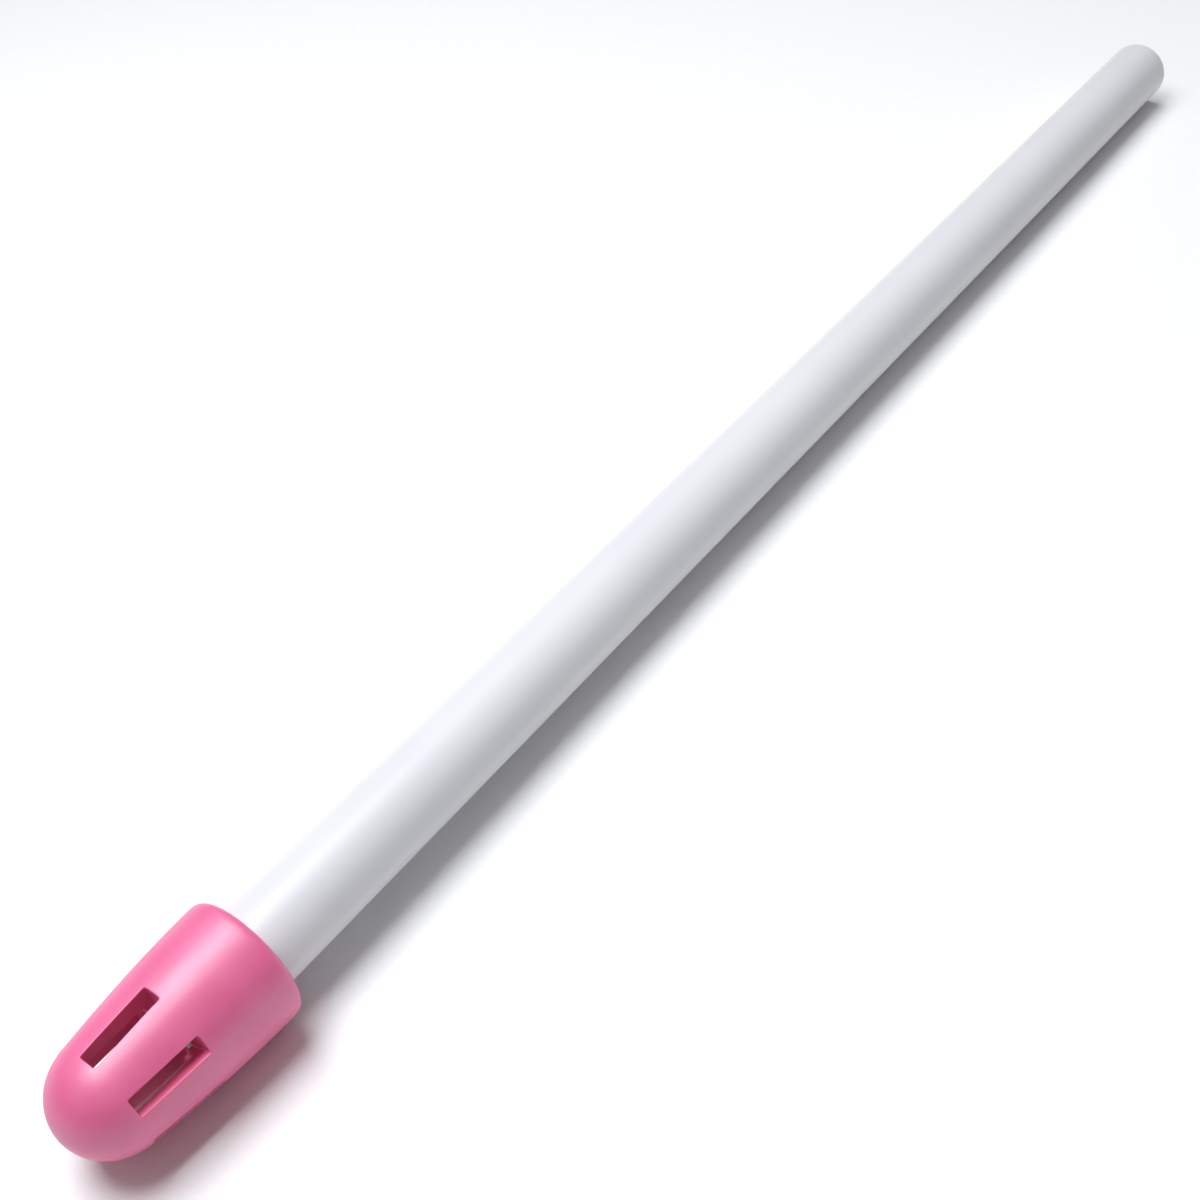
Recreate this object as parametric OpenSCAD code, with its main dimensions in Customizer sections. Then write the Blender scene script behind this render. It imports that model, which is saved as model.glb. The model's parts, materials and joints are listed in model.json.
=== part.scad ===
// Saliva ejector: a bendable plastic suction tube with a wire in its wall and a soft slotted cap.
//
// The tube lies along X with its open suction end at x = 0 and the cap at the far end.
// Z is up. The origin is the centre of the open end, on the tube's axis.
//
// The tube and its wire are one flexible length each. They are cut here into short sections that
// turn about upright hinge lines, so that the ejector can be bent by hand in its own plane.
// The front end of each section is a ball centred on its hinge line. It seats in the hollow rear
// end of the next section, so a bend leaves no open gap.

/* [Tube] */
// Outside diameter of the tube
tube_od = 6.3; // [6:0.1:6.6]
// Diameter of the suction passage
tube_id = 4.3; // [4:0.1:4.4]
// Cut length of the tube
tube_len = 147; // [145:1:160]

/* [Wire] */
// Diameter of the bending wire
wire_d = 0.8; // [0.6:0.05:0.8]
// Distance from the tube's axis down to the wire's centre
wire_drop = 2.5; // [2.45:0.05:2.5]
// Radius of the thickened wall around the wire
wire_wall_r = 0.62; // [0.55:0.01:0.62]

/* [Bending] */
// Distance from the open end to the first hinge line
first_hinge = 27; // [24:0.5:28]
// Distance from the last hinge line to the end of the tube in the cap
last_hinge_back = 13; // [12:0.5:14]
// Distance between hinge lines at the two ends, where the tube bends most
bend_pitch = 3.5; // [3.4:0.05:3.5]

/* [Cap] */
// Length of the cap
cap_len = 15.5; // [15:0.1:17]
// Largest diameter, at the collar
collar_d = 9.6; // [9.3:0.1:10]
// Rounding of the collar's rear edge
rim_r = 0.6; // [0.3:0.1:0.8]
// Radius of the round nose
nose_r = 3.95; // [3.9:0.05:4.2]
// Length of tube that the cap takes in
socket_depth = 6.5; // [5:0.1:6.5]
// Length of the stop ring inside the cap
stop_len = 0.7; // [0.5:0.1:1.5]
// Bore of the stop ring
stop_d = 3.8; // [3.6:0.1:5]
// Bore of the chamber behind the slots
chamber_d = 5.9; // [5.6:0.1:6]
// Thickness of the wall at the tip of the nose
nose_wall = 1.35; // [1:0.05:1.6]

/* [Slots] */
// Number of suction slots around the cap
slot_count = 6; // [4:1:8]
// Width of a slot
slot_w = 1.4; // [0.8:0.1:1.6]
// Length of a slot
slot_len = 5.2; // [3:0.1:5.4]
// Distance from the cap's rear face to the slots
slot_start = 6.7; // [6.6:0.1:7]

/* [Hidden] */
$fn = 64;
// More than the tube's width, for cutting shapes
reach = 8;
// Running clearance of the cap on the tube, of the wire in its channel and between sections
cap_clearance = 0.05;
wire_clearance = 0.02;
hinge_clearance = 0.06;
// The ball ends are a little wider than the tube, so that they meet its surface at a crisp edge
ball_overhang = 0.06;
ball_r = tube_od / 2 + ball_overhang;
// Distance from a hinge line to the rim of the hollow section end in front of it
rim_start = 1.15;
// Hinges near the open end, along the middle and near the cap
tail_hinges = 10;
middle_hinges = 5;
tip_hinges = 8;
hinge_count = tail_hinges + middle_hinges + tip_hinges;
section_count = hinge_count + 1;
tail_last_x = first_hinge + (tail_hinges - 1) * bend_pitch;
tip_first_x = tube_len - last_hinge_back - (tip_hinges - 1) * bend_pitch;
middle_pitch = (tip_first_x - tail_last_x) / (middle_hinges + 1);
cap_x = tube_len - socket_depth;
// The angle at which the nose takes over from the taper, and the taper that meets it smoothly
nose_tilt = 7.5;
taper_end = cap_len - nose_r * (1 - sin(nose_tilt));
taper_end_r = nose_r * cos(nose_tilt);
taper_drop = collar_d / 2 - taper_end_r;
taper_power = tan(nose_tilt) * taper_end / taper_drop;
taper_steps = 12;
arc_step = 7.5;
socket_r = tube_od / 2 + cap_clearance;
mouth_bevel = 0.3;
// Centre of the chamber's round end
chamber_end = cap_len - nose_wall - chamber_d / 2;

function two_digits(n) = str(n < 10 ? "0" : "", n);
function tube_name(n) = str("tube_section_", two_digits(n));
function wire_name(n) = str("wire_section_", two_digits(n));
function hinge_x(n) =
    n <= tail_hinges ? first_hinge + (n - 1) * bend_pitch
    : n <= tail_hinges + middle_hinges ? tail_last_x + (n - tail_hinges) * middle_pitch
    : tip_first_x + (n - tail_hinges - middle_hinges - 1) * bend_pitch;

// A round bar along X from one x to another
module bar(from, to, r, z = 0) {
    translate([from, 0, z]) rotate([0, 90, 0]) cylinder(h = to - from, r = r);
}

// A round bar along the whole tube and a little over both of its ends
module long_bar(r, z = 0, over = 1) {
    bar(-over, tube_len + over, r, z);
}

// A ball centred on hinge line n
module hinge_ball(n, r) {
    translate([hinge_x(n), 0, 0]) rotate([0, 90, 0]) sphere(r = r);
}

// The space that section n takes up along the tube: hollow at the rear, a ball at the front
module section_space(n) {
    rear = n == 1 ? 0 : hinge_x(n - 1) + rim_start;
    front = n == section_count ? tube_len : hinge_x(n);
    difference() {
        union() {
            bar(rear, front, reach);
            if (n < section_count) hinge_ball(n, ball_r);
        }
        if (n > 1) hinge_ball(n - 1, ball_r + hinge_clearance);
    }
}

// One length of tube, with the wall thicker around the wire's channel
module tube_section(n) {
    color([0.93, 0.94, 0.95]) intersection() {
        difference() {
            long_bar(tube_od / 2);
            difference() {
                long_bar(tube_id / 2, over = 2);
                long_bar(wire_wall_r, -wire_drop, over = 3);
            }
            long_bar(wire_d / 2 + wire_clearance, -wire_drop, over = 2);
        }
        section_space(n);
    }
}

// One length of the bending wire
module wire_section(n) {
    color([0.45, 0.44, 0.43]) intersection() {
        long_bar(wire_d / 2, -wire_drop);
        section_space(n);
    }
}

// Outer radius of the cap's taper at a distance from its rear face
function taper_r(x) = collar_d / 2 - taper_drop * pow(x / taper_end, taper_power);

// Half section of the cap as [radius, distance from the rear face]
function cap_outline() = concat(
    [[socket_r + mouth_bevel, 0]],
    [for (a = [0:arc_step * 2:90])
        [taper_r(rim_r) - rim_r * (1 - sin(a)), rim_r * (1 - cos(a))]],
    [for (i = [1:taper_steps - 1])
        let (x = rim_r + (taper_end - rim_r) * i / taper_steps) [taper_r(x), x]],
    [for (a = [nose_tilt:arc_step:90])
        [nose_r * cos(a), cap_len - nose_r + nose_r * sin(a)]],
    [for (a = [90:-arc_step:0])
        [chamber_d / 2 * cos(a), chamber_end + chamber_d / 2 * sin(a)]],
    [
        [chamber_d / 2, socket_depth + stop_len],
        [stop_d / 2, socket_depth + stop_len],
        [stop_d / 2, socket_depth],
        [socket_r, socket_depth],
        [socket_r, mouth_bevel]
    ]
);

// The soft cap: socket for the tube, stop ring, chamber and slots through the wall
module tip_cap() {
    color([0.95, 0.55, 0.70]) translate([cap_x, 0, 0]) difference() {
        rotate([0, 90, 0]) rotate_extrude() polygon(cap_outline());
        for (i = [0:slot_count - 1])
            rotate([i * 360 / slot_count, 0, 0])
                translate([slot_start, -slot_w / 2, 0]) cube([slot_len, slot_w, collar_d]);
    }
}

for (n = [1:section_count]) {
    tube_section(n);
    wire_section(n);
}
tip_cap();
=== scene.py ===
"""Looks of a saliva ejector: a white bendable tube, the wire in its wall and a pink slotted cap.

The tube and the wire are smooth lengths. Each is made of short pieces, one across every hinge, that
meet halfway between hinges. Only the two end pieces ride a body; the pieces across hinges stay as
built.
"""
import json
import math

import bmesh
import bpy
from mathutils import Matrix, Vector


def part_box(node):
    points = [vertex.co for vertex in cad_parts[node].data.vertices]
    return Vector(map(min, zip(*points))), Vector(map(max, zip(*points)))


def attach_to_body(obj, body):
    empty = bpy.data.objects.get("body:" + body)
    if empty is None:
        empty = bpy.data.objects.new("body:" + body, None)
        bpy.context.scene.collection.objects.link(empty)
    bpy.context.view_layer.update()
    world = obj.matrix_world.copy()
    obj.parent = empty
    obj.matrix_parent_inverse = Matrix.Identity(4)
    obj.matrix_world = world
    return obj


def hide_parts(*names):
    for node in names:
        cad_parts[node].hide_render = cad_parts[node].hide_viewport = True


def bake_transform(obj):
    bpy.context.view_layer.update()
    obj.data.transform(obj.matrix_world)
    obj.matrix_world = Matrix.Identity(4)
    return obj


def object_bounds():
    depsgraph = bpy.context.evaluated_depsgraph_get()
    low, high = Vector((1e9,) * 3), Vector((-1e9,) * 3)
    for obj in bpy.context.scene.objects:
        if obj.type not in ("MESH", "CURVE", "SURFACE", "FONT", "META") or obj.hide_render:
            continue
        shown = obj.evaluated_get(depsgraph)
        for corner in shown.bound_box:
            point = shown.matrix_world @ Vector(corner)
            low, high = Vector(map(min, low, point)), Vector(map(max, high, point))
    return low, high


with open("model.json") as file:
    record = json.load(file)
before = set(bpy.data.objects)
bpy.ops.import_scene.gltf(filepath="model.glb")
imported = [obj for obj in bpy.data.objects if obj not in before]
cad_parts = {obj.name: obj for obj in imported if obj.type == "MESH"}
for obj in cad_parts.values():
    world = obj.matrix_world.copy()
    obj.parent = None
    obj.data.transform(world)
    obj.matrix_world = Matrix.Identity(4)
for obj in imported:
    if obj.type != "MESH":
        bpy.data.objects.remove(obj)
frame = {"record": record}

CAD_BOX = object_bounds()
LENGTH = CAD_BOX[1].x - CAD_BOX[0].x
MM = 0.001

# Tube and wire, in millimetres
BORE_R = 2.15
WIRE_R = 0.4
WIRE_DROP = 2.5
WIRE_RECESS = 0.06
# The ridge inside the bore, where the wall is thicker around the wire
RIDGE_HEIGHT = 0.27
RIDGE_SPREAD = math.radians(15)
# Rounding of the tube's cut edges, and the angles at which it has a ring of points
CUT_ROUNDING = 0.15
CUT_ANGLES = (0, 22.5, 45, 67.5, 90)
# How far the outside moves in and the bore moves out, as shares of that rounding
CUT_OUTSIDE = -1.0
CUT_BORE = 0.6
# Longest distance between rings of points along a piece, and how many points a ring has
STATION_STEP = 0.45
TUBE_POINTS = 96
WIRE_POINTS = 16
# Points of the tube's outline to each side of the wire between which the end face goes around it
WIRE_SECTOR = 4

# Cap, in millimetres from its rear face
RIM_R = 0.6
NOSE_R = 3.95
NOSE_TILT = math.radians(7.5)
SOCKET_R = 3.2
SOCKET_DEPTH = 6.5
STOP_R = 1.9
STOP_END = 7.2
CHAMBER_R = 2.95
NOSE_WALL = 1.35
MOUTH_BEVEL = 0.3
SLOT_COUNT = 6
SECTOR = 2 * math.pi / SLOT_COUNT
SLOT_HALF_WIDTH = 0.7
SLOT_START = 6.7
SLOT_END = 11.9
# Distance between the rows or columns of points that keep an edge crisp under subdivision
EDGE = 0.13
# Half the length of the soft step from the stop ring's bore to the chamber
STEP_HALF = 0.08
# Rows beside the corners of the mouth, the stop ring and the socket's floor
BEVEL_WIDTH = 0.12
RING_EDGE = 0.08
RING_BEVEL = 0.06
SOCKET_FILLET = 0.1
# Rows over the rim, in degrees, and along the outside, the slots and the socket
RIM_ANGLES = (30, 60, 90)
TAPER_ROWS = (1.3, 2.2, 3.2, 4.2, 5.2, 6.0, SLOT_START - EDGE)
SLOT_ROWS = (
    SLOT_START, SLOT_START + EDGE, 7.0, 7.12, STOP_END, 7.28, 7.45,
    8.2, 9.2, 10.2, 11.0, SLOT_END - EDGE, SLOT_END,
)
SOCKET_ROWS = (SOCKET_DEPTH - 0.02, SOCKET_DEPTH - 0.2, 4.5, 2.5, MOUTH_BEVEL + 0.15, MOUTH_BEVEL)
# Where the even rows of the nose and of the dome inside it start, and how many steps they take
NOSE_START = 12.4
NOSE_STEPS = 9
DOME_START = SLOT_END + 0.35
DOME_STEPS = 8
# Below this radius the angle to the column beside a slot grows no more, so that none cross
EDGE_RADIUS = 2.0
# Columns of points between two slots, as shares of the way from a slot to halfway to the next
WALL_COLUMNS = (0.35, 0.68)
COLUMNS_PER_SECTOR = 11
# First and last column of a slot in its sector
SLOT_COLUMNS = (4, 7)
# Points through the slot's wall, as shares of the way from the outside to the inside
WALL_SHARES = (0.1, 0.5, 0.9)
SUBDIVISIONS = 2

# Camera. The point it aims at, its distance and its clipping are in object lengths
AIM_ALONG = 0.6559
AIM_ASIDE = -0.0027
AIM_DISTANCE = 0.7629
CAMERA_AZIMUTH = 131.86
CAMERA_ELEVATION = 43.18
CAMERA_ROLL = 7.4
FIELD_OF_VIEW = 42.89
SENSOR_WIDTH = 36
CLIP_NEAR = 0.01
CLIP_FAR = 100

# Brightness and colour of the surroundings
SKY_AT_HORIZON = 0.06
SKY_OVERHEAD = 0.32
SKY_COLOUR = (1.0, 0.985, 0.97, 1)
BACKDROP = 0.56

# Lights. Sizes and distances are in object lengths
LIGHT_COLOUR = (0.945, 0.965, 1.0)
LIGHT_DIRECTION = (-0.05, -0.25, 0.97)
NEAR_SIZE = 1.0
NEAR_WATTS = 0.47
NEAR_ALONG = 0.95
NEAR_DISTANCE = 1.6
FAR_ANGLE = math.radians(35)
FAR_STRENGTH = 1.3
FAR_ALONG = 0.5
FAR_DISTANCE = 4.0

# Floor, in object lengths from its centre to its edge
FLOOR_REACH = 12
FLOOR_SEGMENTS = 8

# The values that a noise mostly keeps between
NOISE_LOW = 0.3
NOISE_HIGH = 0.7

# Colours, each as the two ends of a faint cloudy variation
TUBE_TINTS = ((0.73, 0.732, 0.762), (0.75, 0.752, 0.777))
CAP_TINTS = ((0.78, 0.136, 0.312), (0.82, 0.161, 0.350))
WIRE_TINTS = ((0.16, 0.157, 0.153), (0.25, 0.243, 0.235))
PAPER_TINTS = ((0.92, 0.92, 0.92), (0.935, 0.935, 0.935))

record = frame["record"]
behaviour = record["behaviour"]
section_bodies = [b for b in behaviour["bodies"] if b.startswith("section_")]
hinges = [j for j in behaviour["joints"] if j["type"] == "hinge"]
hinge_x = [j["pos_m"][0] / MM for j in hinges]
suction_end = next(m for m in record["mounts"] if m["name"] == "suction_end")

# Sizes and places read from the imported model, in millimetres
tube_r = suction_end["dims"]["r_mm"]
tube_end_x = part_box(behaviour["bodies"][section_bodies[-1]][0])[1].x / MM
cap_low, cap_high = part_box("tip_cap")
cap_x = cap_low.x / MM
cap_length = (cap_high.x - cap_low.x) / MM
collar_r = cap_high.z / MM


# ---------------------------------------------------------------- mesh tools

def new_object(name, bm, sharp_angle=35):
    """A shown object from a bmesh in millimetres, smooth but for its sharp edges."""
    bmesh.ops.recalc_face_normals(bm, faces=bm.faces)
    bmesh.ops.scale(bm, vec=(MM, MM, MM), verts=bm.verts)
    mesh = bpy.data.meshes.new(name)
    bm.to_mesh(mesh)
    bm.free()
    mesh.polygons.foreach_set("use_smooth", [True] * len(mesh.polygons))
    mesh.set_sharp_from_angle(angle=math.radians(sharp_angle))
    obj = bpy.data.objects.new(name, mesh)
    bpy.context.scene.collection.objects.link(obj)
    return obj


def circle(count, radius, z=0.0):
    """Points of a circle across the tube, as (y, z)."""
    turns = [2 * math.pi * i / count for i in range(count)]
    return [(radius * math.sin(a), z + radius * math.cos(a)) for a in turns]


def bore_outline(count):
    """Points of the bore, pushed in where the wall is thicker around the wire at the bottom."""
    points = []
    for i in range(count):
        turn = 2 * math.pi * i / count
        from_wire = abs(turn - math.pi)
        radius = BORE_R - RIDGE_HEIGHT * math.exp(-(from_wire / RIDGE_SPREAD) ** 2)
        points.append((radius * math.sin(turn), radius * math.cos(turn)))
    return points


def stations(start, end, round_start=False, round_end=False):
    """Places along X as (x, how far the edges are rounded away there)."""
    quarter = [math.radians(a) for a in CUT_ANGLES]
    rounding = [
        (CUT_ROUNDING * (1 - math.cos(a)), CUT_ROUNDING * (1 - math.sin(a))) for a in quarter
    ]
    head = [(start + along, inset) for along, inset in rounding] if round_start else [(start, 0.0)]
    tail = [(end - along, inset) for along, inset in rounding] if round_end else [(end, 0.0)]
    first, last = head[-1][0], tail[-1][0]
    count = max(1, math.ceil((last - first) / STATION_STEP))
    between = [(first + (last - first) * i / count, 0.0) for i in range(1, count)]
    return head + between + tail[::-1]


def wire_end(ring):
    """The end face of a piece of wire: one face on its only outline."""
    return ring


def tube_end(ring):
    """The end faces of a piece of tube: strips from outside to bore, and two faces by the wire."""
    outer, bore, channel = ring
    count, bottom, low_point = len(outer), len(outer) // 2, len(channel) // 2
    near, far = bottom - WIRE_SECTOR, bottom + WIRE_SECTOR
    faces = []
    for i in range(far, count + near):
        a, b = i % count, (i + 1) % count
        faces.append([outer[a], outer[b], bore[b], bore[a]])
    faces.append(outer[near:bottom + 1] + channel[low_point::-1] + bore[near:bottom + 1][::-1])
    faces.append(
        outer[bottom:far + 1] + bore[bottom:far + 1][::-1]
        + [channel[0]] + channel[:low_point - 1:-1]
    )
    return faces


def extruded(name, outlines, places, insets, end_faces):
    """A solid along X: the first outline less the others.

    places come from stations, insets scales the rounding of each outline, and end_faces makes the
    faces of an end from its ring of outlines."""
    bm = bmesh.new()
    rings = []
    for x, inset in places:
        rings.append([])
        for outline, share in zip(outlines, insets):
            moved = []
            for y, z in outline:
                away = math.hypot(y, z)
                scale = 1 + share * inset / away
                moved.append(bm.verts.new((x, y * scale, z * scale)))
            rings[-1].append(moved)
    for near, far in zip(rings, rings[1:]):
        for a, b in zip(near, far):
            for i in range(len(a)):
                bm.faces.new((a[i - 1], a[i], b[i], b[i - 1]))
    for ring in (rings[0], rings[-1]):
        for face in end_faces(ring):
            bm.faces.new(face)
    return new_object(name, bm)


# ---------------------------------------------------------------- tube and wire

def piece_ends():
    """Where the pieces meet: the open end, halfway between hinges and the end in the cap."""
    halfway = [(a + b) / 2 for a, b in zip(hinge_x, hinge_x[1:])]
    first = hinge_x[0] - (halfway[0] - hinge_x[0])
    last = hinge_x[-1] + (hinge_x[-1] - halfway[-1])
    return [0.0, first] + halfway + [last, tube_end_x]


def attach(obj, index, prefix):
    """Ties an end piece to its body, or bakes a piece across a hinge in place, and hides the CAD
    nodes it stands for.
    """
    last = len(section_bodies)
    if index == 0 or index == last:
        body = section_bodies[min(index, last - 1)]
        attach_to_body(obj, body)
        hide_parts(prefix + body[-2:])
    else:
        before, after = section_bodies[index - 1], section_bodies[index]
        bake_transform(obj)
        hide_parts(prefix + before[-2:], prefix + after[-2:])


def make_tube(material):
    """The tube's pieces, each with the bore and the wire's channel through it."""
    wire = circle(WIRE_POINTS, WIRE_R, -WIRE_DROP)
    outlines = [circle(TUBE_POINTS, tube_r), bore_outline(TUBE_POINTS), wire]
    ends = piece_ends()
    for i, (start, end) in enumerate(zip(ends, ends[1:])):
        places = stations(start, end, round_start=i == 0, round_end=i == len(ends) - 2)
        insets = (CUT_OUTSIDE, CUT_BORE, 0.0)
        obj = extruded(f"tube_{i + 1:02d}", outlines, places, insets, tube_end)
        obj.data.materials.append(material)
        attach(obj, i, "tube_section_")


def make_wire(material):
    """The wire's pieces. The first starts a little inside the tube's open end."""
    outlines = [circle(WIRE_POINTS, WIRE_R, -WIRE_DROP)]
    ends = piece_ends()
    for i, (start, end) in enumerate(zip(ends, ends[1:])):
        places = stations(start + (WIRE_RECESS if i == 0 else 0), end)
        obj = extruded(f"wire_{i + 1:02d}", outlines, places, (0.0,), wire_end)
        obj.data.materials.append(material)
        attach(obj, i, "wire_section_")


# ---------------------------------------------------------------- cap

nose_centre = cap_length - NOSE_R
dome_centre = cap_length - NOSE_WALL - CHAMBER_R
# The taper, as a power curve that meets the round nose smoothly
taper_end = nose_centre + NOSE_R * math.sin(NOSE_TILT)
taper_drop = collar_r - NOSE_R * math.cos(NOSE_TILT)
taper_power = math.tan(NOSE_TILT) * taper_end / taper_drop


def outer_radius(x):
    """Radius of the cap's outside at a distance from its rear face."""
    if x > taper_end:
        return math.sqrt(max(0.0, NOSE_R ** 2 - (x - nose_centre) ** 2))
    return collar_r - taper_drop * (x / taper_end) ** taper_power


def inner_radius(x):
    """Radius of the stop ring's bore and of the chamber, with a soft step between them."""
    if x > dome_centre:
        return math.sqrt(max(0.0, CHAMBER_R ** 2 - (x - dome_centre) ** 2))
    step = min(1.0, max(0.0, (x - STOP_END + STEP_HALF) / (2 * STEP_HALF)))
    step = step * step * (3 - 2 * step)
    return STOP_R + (CHAMBER_R - STOP_R) * step


def slot_angle(x, radius_at):
    """Half the angle that a slot takes up at x, or at its nearer end for an x outside it."""
    x = min(SLOT_END, max(SLOT_START, x))
    return math.asin(SLOT_HALF_WIDTH / radius_at(x))


def ball_rows(centre, radius, first_x, steps, half_slot):
    """Rows around a ball in even steps, from the one after first_x to the one before its tip."""
    start = math.degrees(math.asin((first_x - centre) / radius))
    turns = [math.radians(start + (90 - start) * i / steps) for i in range(1, steps)]
    return [
        (centre + radius * math.sin(turn), radius * math.cos(turn), half_slot, None)
        for turn in turns
    ]


def cap_profile():
    """Rows around the cap from the mouth, over the outside, through the inside and back.

    Each row is (x, radius, half the angle of a slot there, number of the slot row or None)."""
    # Rear face and rim
    outside, inside = slot_angle(0, outer_radius), slot_angle(0, inner_radius)
    rim_centre = outer_radius(RIM_R) - RIM_R
    rows = [
        (0.0, SOCKET_R + MOUTH_BEVEL, inside, None),
        (0.0, SOCKET_R + MOUTH_BEVEL + BEVEL_WIDTH, inside, None),
        (0.0, rim_centre, outside, None),
    ]
    for a in RIM_ANGLES:
        turn = math.radians(a)
        x, radius = RIM_R * (1 - math.cos(turn)), rim_centre + RIM_R * math.sin(turn)
        rows.append((x, radius, outside, None))

    # Outside, from the rim to the tip of the nose
    for x in TAPER_ROWS:
        rows.append((x, outer_radius(x), slot_angle(x, outer_radius), None))
    for i, x in enumerate(SLOT_ROWS):
        rows.append((x, outer_radius(x), slot_angle(x, outer_radius), i))
    tail = slot_angle(SLOT_END, outer_radius)
    for x in (SLOT_END + EDGE, NOSE_START):
        rows.append((x, outer_radius(x), tail, None))
    rows += ball_rows(nose_centre, NOSE_R, NOSE_START, NOSE_STEPS, tail)
    rows.append((cap_length, 0.0, tail, None))

    # Inside, from the tip back through the chamber and the stop ring
    tail = slot_angle(SLOT_END, inner_radius)
    rows.append((cap_length - NOSE_WALL, 0.0, tail, None))
    rows += ball_rows(dome_centre, CHAMBER_R, DOME_START, DOME_STEPS, tail)[::-1]
    rows.append((SLOT_END + EDGE, inner_radius(SLOT_END + EDGE), tail, None))
    for i, x in reversed(list(enumerate(SLOT_ROWS))):
        rows.append((x, inner_radius(x), slot_angle(x, inner_radius), i))

    # The stop ring's rear edge and face, and the socket
    rows.append((SLOT_START - RING_EDGE, STOP_R, inside, None))
    rows.append((SOCKET_DEPTH, STOP_R + RING_BEVEL, inside, None))
    rows.append((SOCKET_DEPTH, SOCKET_R - SOCKET_FILLET, inside, None))
    for x in SOCKET_ROWS:
        rows.append((x, SOCKET_R, inside, None))
    return rows


def column_angles(half_slot, radius):
    """Angles of the columns in the sector around one slot, from its start to before the next."""
    beside = half_slot + EDGE / max(radius, EDGE_RADIUS)
    between = [half_slot + share * (SECTOR / 2 - half_slot) for share in WALL_COLUMNS]
    right = [half_slot / 3, half_slot, beside] + between
    return [-SECTOR / 2] + [-a for a in right[::-1]] + right


def make_cap(material):
    """The cap: a grid of rows and columns with the slots left out, and the walls of the slots."""
    bm = bmesh.new()
    rows = cap_profile()
    grid = []
    for x, radius, half_slot, _ in rows:
        if radius == 0:
            grid.append([bm.verts.new((x, 0, 0))])
            continue
        line = []
        for s in range(SLOT_COUNT):
            for offset in column_angles(half_slot, radius):
                turn = s * SECTOR + offset
                line.append(bm.verts.new((x, radius * math.sin(turn), radius * math.cos(turn))))
        grid.append(line)
    count = COLUMNS_PER_SECTOR * SLOT_COUNT
    for r in range(len(rows)):
        a, b = grid[r], grid[(r + 1) % len(rows)]
        slot_a, slot_b = rows[r][3], rows[(r + 1) % len(rows)][3]
        if len(a) == 1 and len(b) == 1:
            continue
        for c in range(count):
            d = (c + 1) % count
            in_slot = SLOT_COLUMNS[0] <= c % COLUMNS_PER_SECTOR < SLOT_COLUMNS[1]
            if slot_a is not None and slot_b is not None and in_slot:
                continue
            if len(a) == 1:
                bm.faces.new((a[0], b[c], b[d]))
            elif len(b) == 1:
                bm.faces.new((a[c], a[d], b[0]))
            else:
                bm.faces.new((a[c], a[d], b[d], b[c]))
    slot_rows = [(row[3], i) for i, row in enumerate(rows) if row[3] is not None]
    outer_rows = {number: i for number, i in slot_rows if i < len(rows) // 2}
    inner_rows = {number: i for number, i in slot_rows if i > len(rows) // 2}
    for s in range(SLOT_COUNT):
        make_slot_walls(bm, grid, s * COLUMNS_PER_SECTOR, outer_rows, inner_rows)
    bmesh.ops.translate(bm, vec=(cap_x, 0, 0), verts=bm.verts)
    obj = new_object("cap", bm, sharp_angle=180)
    obj.data.materials.append(material)
    smooth = obj.modifiers.new("smooth", "SUBSURF")
    smooth.levels = SUBDIVISIONS
    smooth.render_levels = SUBDIVISIONS
    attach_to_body(obj, "cap")
    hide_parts("tip_cap")


def make_slot_walls(bm, grid, first, outer_rows, inner_rows):
    """The walls of one slot, from the edge in the outside to the edge in the inside."""
    low, high = SLOT_COLUMNS
    last_row = len(SLOT_ROWS) - 1
    border = [(0, c) for c in range(low, high)]
    border += [(r, high) for r in range(last_row)]
    border += [(last_row, c) for c in range(high, low, -1)]
    border += [(r, low) for r in range(last_row, 0, -1)]
    outer = [grid[outer_rows[r]][first + c] for r, c in border]
    inner = [grid[inner_rows[r]][first + c] for r, c in border]
    rings = [outer]
    for share in WALL_SHARES:
        rings.append([bm.verts.new(a.co.lerp(b.co, share)) for a, b in zip(outer, inner)])
    rings.append(inner)
    for a, b in zip(rings, rings[1:]):
        for i in range(len(border)):
            bm.faces.new((a[i - 1], a[i], b[i], b[i - 1]))


# ---------------------------------------------------------------- materials

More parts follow.
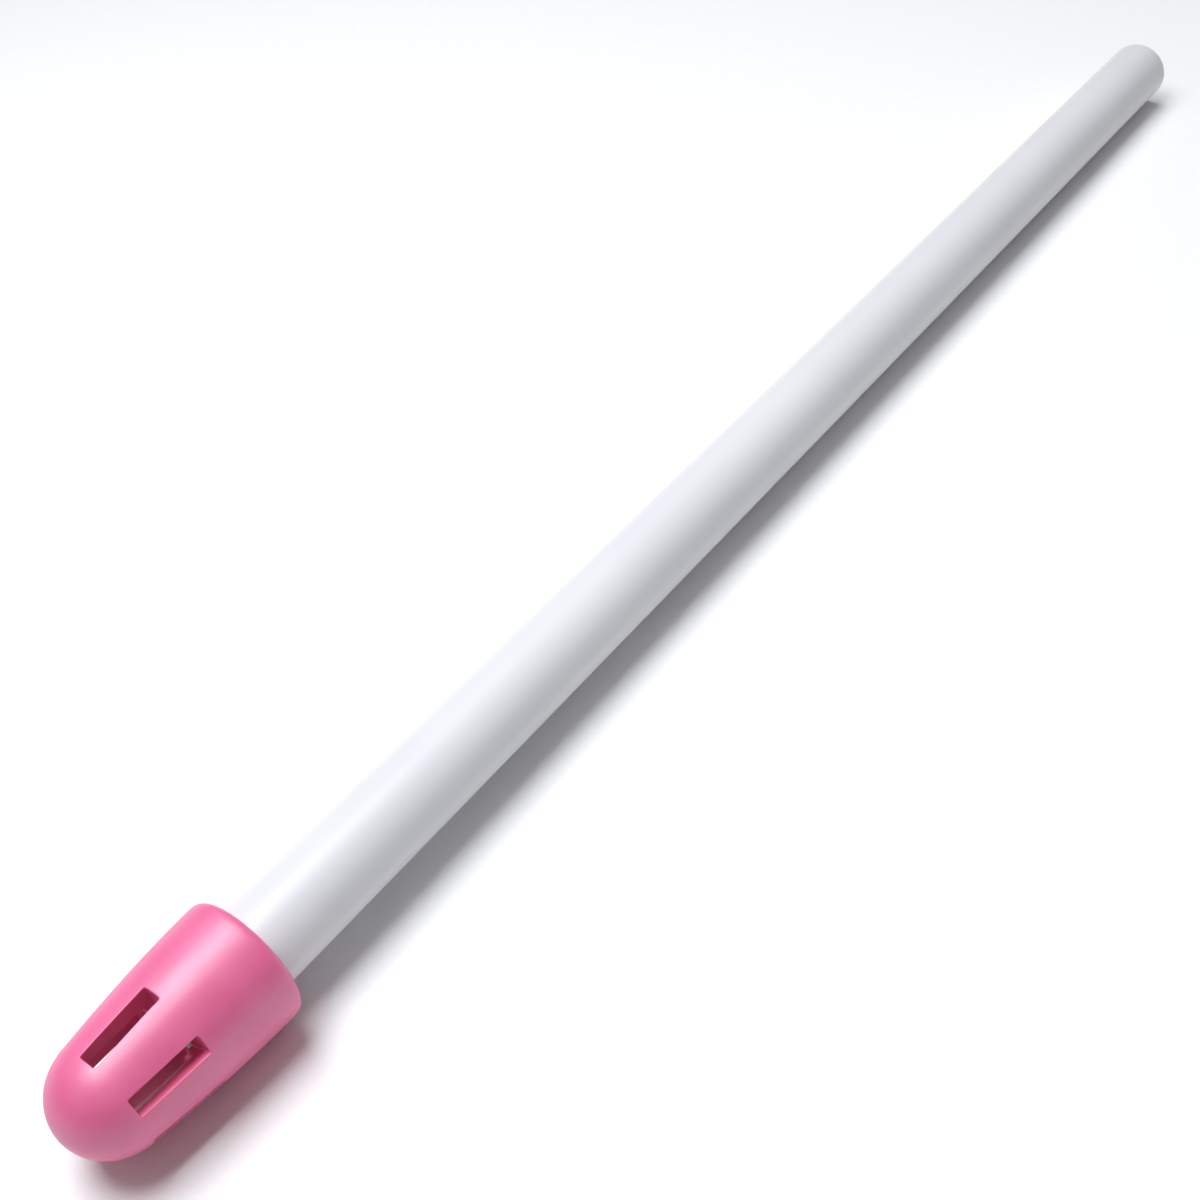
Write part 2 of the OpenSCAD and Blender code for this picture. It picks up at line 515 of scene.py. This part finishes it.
class Nodes:
    """A material under construction, with short calls for the nodes used here."""

    def __init__(self, name):
        self.material = bpy.data.materials.new(name)
        self.material.use_nodes = True
        self.tree = self.material.node_tree
        self.shader = self.tree.nodes["Principled BSDF"]
        self.place = self.tree.nodes.new("ShaderNodeTexCoord").outputs["Object"]

    def link(self, source, target):
        """Joins an output to an input."""
        self.tree.links.new(source, target)

    def stretched(self, scale):
        """Places scaled on each axis, so that a pattern on them is drawn out along the tube."""
        node = self.tree.nodes.new("ShaderNodeMapping")
        node.inputs["Scale"].default_value = scale
        self.link(self.place, node.inputs["Vector"])
        return node.outputs["Vector"]

    def noise(self, size_mm, detail=3.0, place=None):
        """A noise with features of a size in millimetres."""
        node = self.tree.nodes.new("ShaderNodeTexNoise")
        node.inputs["Scale"].default_value = 1000 / size_mm
        node.inputs["Detail"].default_value = detail
        self.link(place or self.place, node.inputs["Vector"])
        return node.outputs["Fac"]

    def between(self, factor, low, high):
        """A noise spread smoothly from one value to another."""
        node = self.tree.nodes.new("ShaderNodeMapRange")
        node.interpolation_type = "SMOOTHSTEP"
        node.inputs["From Min"].default_value = NOISE_LOW
        node.inputs["From Max"].default_value = NOISE_HIGH
        node.inputs["To Min"].default_value = low
        node.inputs["To Max"].default_value = high
        self.link(factor, node.inputs["Value"])
        return node.outputs["Result"]

    def colours(self, factor, tints):
        """A mix of two colours, in which a noise chooses between them."""
        node = self.tree.nodes.new("ShaderNodeMix")
        node.data_type = "RGBA"
        node.inputs["A"].default_value = (*tints[0], 1)
        node.inputs["B"].default_value = (*tints[1], 1)
        self.link(self.between(factor, 0.0, 1.0), node.inputs["Factor"])
        return node.outputs["Result"]

    def bump(self, height, depth_mm, under=None):
        """A fine relief of a depth in millimetres, over another one where there is one."""
        node = self.tree.nodes.new("ShaderNodeBump")
        node.inputs["Distance"].default_value = depth_mm * MM
        self.link(height, node.inputs["Height"])
        if under is not None:
            self.link(under, node.inputs["Normal"])
        return node.outputs["Normal"]


def tube_plastic():
    """White extruded plastic: a satin skin with faint lines along it from the die."""
    nodes = Nodes("tube_plastic")
    shader = nodes.shader
    along = nodes.stretched((0.03, 1.0, 1.0))
    die_lines = nodes.noise(0.35, 4.0, along)
    cloud = nodes.noise(9.0, 2.0)
    skin = nodes.noise(0.09, 3.0)
    nodes.link(nodes.colours(cloud, TUBE_TINTS), shader.inputs["Base Color"])
    nodes.link(nodes.between(die_lines, 0.30, 0.40), shader.inputs["Roughness"])
    slow = nodes.bump(nodes.noise(5.0, 1.0), 0.012)
    lines = nodes.bump(die_lines, 0.006, slow)
    nodes.link(nodes.bump(skin, 0.002, lines), shader.inputs["Normal"])
    shader.inputs["Specular IOR Level"].default_value = 0.45
    return nodes.material


def cap_plastic():
    """Soft pink moulded plastic: light scatters a little in it, and the skin is finely matt."""
    nodes = Nodes("cap_plastic")
    shader = nodes.shader
    cloud = nodes.noise(3.5, 3.0)
    skin = nodes.noise(0.12, 4.0)
    flow = nodes.noise(1.6, 2.0, nodes.stretched((0.3, 1.0, 1.0)))
    nodes.link(nodes.colours(cloud, CAP_TINTS), shader.inputs["Base Color"])
    nodes.link(nodes.between(flow, 0.39, 0.47), shader.inputs["Roughness"])
    soft = nodes.bump(flow, 0.012)
    nodes.link(nodes.bump(skin, 0.0025, soft), shader.inputs["Normal"])
    shader.inputs["Subsurface Weight"].default_value = 0.35
    shader.inputs["Subsurface Radius"].default_value = (1.0, 0.35, 0.45)
    shader.inputs["Subsurface Scale"].default_value = 0.6 * MM
    shader.inputs["Specular IOR Level"].default_value = 1.0
    return nodes.material


def wire_metal():
    """Drawn soft wire: dull grey with fine lines along it."""
    nodes = Nodes("wire_metal")
    shader = nodes.shader
    drawn = nodes.noise(0.05, 3.0, nodes.stretched((0.05, 1.0, 1.0)))
    nodes.link(nodes.colours(drawn, WIRE_TINTS), shader.inputs["Base Color"])
    nodes.link(nodes.between(drawn, 0.35, 0.5), shader.inputs["Roughness"])
    nodes.link(nodes.bump(drawn, 0.004), shader.inputs["Normal"])
    shader.inputs["Metallic"].default_value = 1.0
    return nodes.material


def floor_paper():
    """Matt white paper."""
    nodes = Nodes("floor_paper")
    shader = nodes.shader
    grain = nodes.noise(0.6, 4.0)
    nodes.link(nodes.colours(grain, PAPER_TINTS), shader.inputs["Base Color"])
    nodes.link(nodes.between(grain, 0.85, 0.95), shader.inputs["Roughness"])
    shader.inputs["Specular IOR Level"].default_value = 0.1
    return nodes.material


# ---------------------------------------------------------------- stage, lights and camera

def make_floor():
    """A floor that touches the tube's open end and the wider collar, so it slopes a little."""
    slope = math.atan((collar_r - tube_r) / (cap_x + RIM_R))
    bm = bmesh.new()
    bmesh.ops.create_grid(
        bm, x_segments=FLOOR_SEGMENTS, y_segments=FLOOR_SEGMENTS, size=FLOOR_REACH * LENGTH / MM
    )
    bmesh.ops.rotate(bm, matrix=Matrix.Rotation(slope, 3, "Y"), verts=bm.verts)
    bmesh.ops.translate(bm, vec=(0, 0, -tube_r), verts=bm.verts)
    floor = new_object("floor", bm)
    floor.data.materials.append(floor_paper())


def add_light(data, along, direction, distance):
    """Puts a lamp so that it shines at a point along the object. Distances are in its lengths."""
    light = bpy.data.objects.new(data.name, data)
    towards = Vector(direction).normalized()
    light.location = Vector((along * LENGTH, 0, 0)) + towards * distance * LENGTH
    light.rotation_mode = "QUATERNION"
    light.rotation_quaternion = towards.to_track_quat("Z", "Y")
    bpy.context.scene.collection.objects.link(light)


def make_world():
    """A sky that is dim near the horizon lights the object. The camera sees a pale backdrop."""
    world = bpy.data.worlds.new("studio")
    world.use_nodes = True
    tree = world.node_tree
    sky = tree.nodes["Background"]
    sky.inputs["Color"].default_value = SKY_COLOUR
    place = tree.nodes.new("ShaderNodeTexCoord")
    height = tree.nodes.new("ShaderNodeSeparateXYZ")
    brightness = tree.nodes.new("ShaderNodeMapRange")
    brightness.inputs["To Min"].default_value = SKY_AT_HORIZON
    brightness.inputs["To Max"].default_value = SKY_OVERHEAD
    backdrop = tree.nodes.new("ShaderNodeBackground")
    backdrop.inputs["Color"].default_value = (1, 1, 1, 1)
    backdrop.inputs["Strength"].default_value = BACKDROP
    shown = tree.nodes.new("ShaderNodeLightPath")
    mix = tree.nodes.new("ShaderNodeMixShader")
    tree.links.new(place.outputs["Generated"], height.inputs["Vector"])
    tree.links.new(height.outputs["Z"], brightness.inputs["Value"])
    tree.links.new(brightness.outputs["Result"], sky.inputs["Strength"])
    tree.links.new(shown.outputs["Is Camera Ray"], mix.inputs[0])
    tree.links.new(sky.outputs["Background"], mix.inputs[1])
    tree.links.new(backdrop.outputs["Background"], mix.inputs[2])
    tree.links.new(mix.outputs["Shader"], tree.nodes["World Output"].inputs["Surface"])
    bpy.context.scene.world = world


def make_lights():
    """One soft light high above the cap, which fades towards the open end, over an even far one."""
    near = bpy.data.lights.new("near_softbox", "AREA")
    near.shape = "SQUARE"
    near.size = NEAR_SIZE * LENGTH
    near.energy = NEAR_WATTS
    near.color = LIGHT_COLOUR
    add_light(near, NEAR_ALONG, LIGHT_DIRECTION, NEAR_DISTANCE)
    far = bpy.data.lights.new("far_softbox", "SUN")
    far.angle = FAR_ANGLE
    far.energy = FAR_STRENGTH
    far.color = LIGHT_COLOUR
    add_light(far, FAR_ALONG, LIGHT_DIRECTION, FAR_DISTANCE)


def make_camera():
    """The photograph's camera, near the cap, so that the tube narrows towards its far end."""
    azimuth, elevation = math.radians(CAMERA_AZIMUTH), math.radians(CAMERA_ELEVATION)
    back = Vector((
        math.sin(azimuth) * math.cos(elevation),
        -math.cos(azimuth) * math.cos(elevation),
        math.sin(elevation),
    ))
    data = bpy.data.cameras.new("camera")
    data.sensor_width = SENSOR_WIDTH
    data.lens = data.sensor_width / 2 / math.tan(math.radians(FIELD_OF_VIEW) / 2)
    data.clip_start = CLIP_NEAR * LENGTH
    data.clip_end = CLIP_FAR * LENGTH
    camera = bpy.data.objects.new("camera", data)
    aim = Vector((CAD_BOX[0].x + AIM_ALONG * LENGTH, AIM_ASIDE * LENGTH, 0))
    camera.location = aim + back * AIM_DISTANCE * LENGTH
    roll = Matrix.Rotation(-math.radians(CAMERA_ROLL), 3, "Z")
    turned = back.to_track_quat("Z", "Y").to_matrix() @ roll
    camera.rotation_mode = "QUATERNION"
    camera.rotation_quaternion = turned.to_quaternion()
    bpy.context.scene.collection.objects.link(camera)
    bpy.context.scene.camera = camera


make_tube(tube_plastic())
make_wire(wire_metal())
make_cap(cap_plastic())
make_floor()
make_world()
make_lights()
make_camera()
bpy.context.scene.view_settings.view_transform = "Standard"
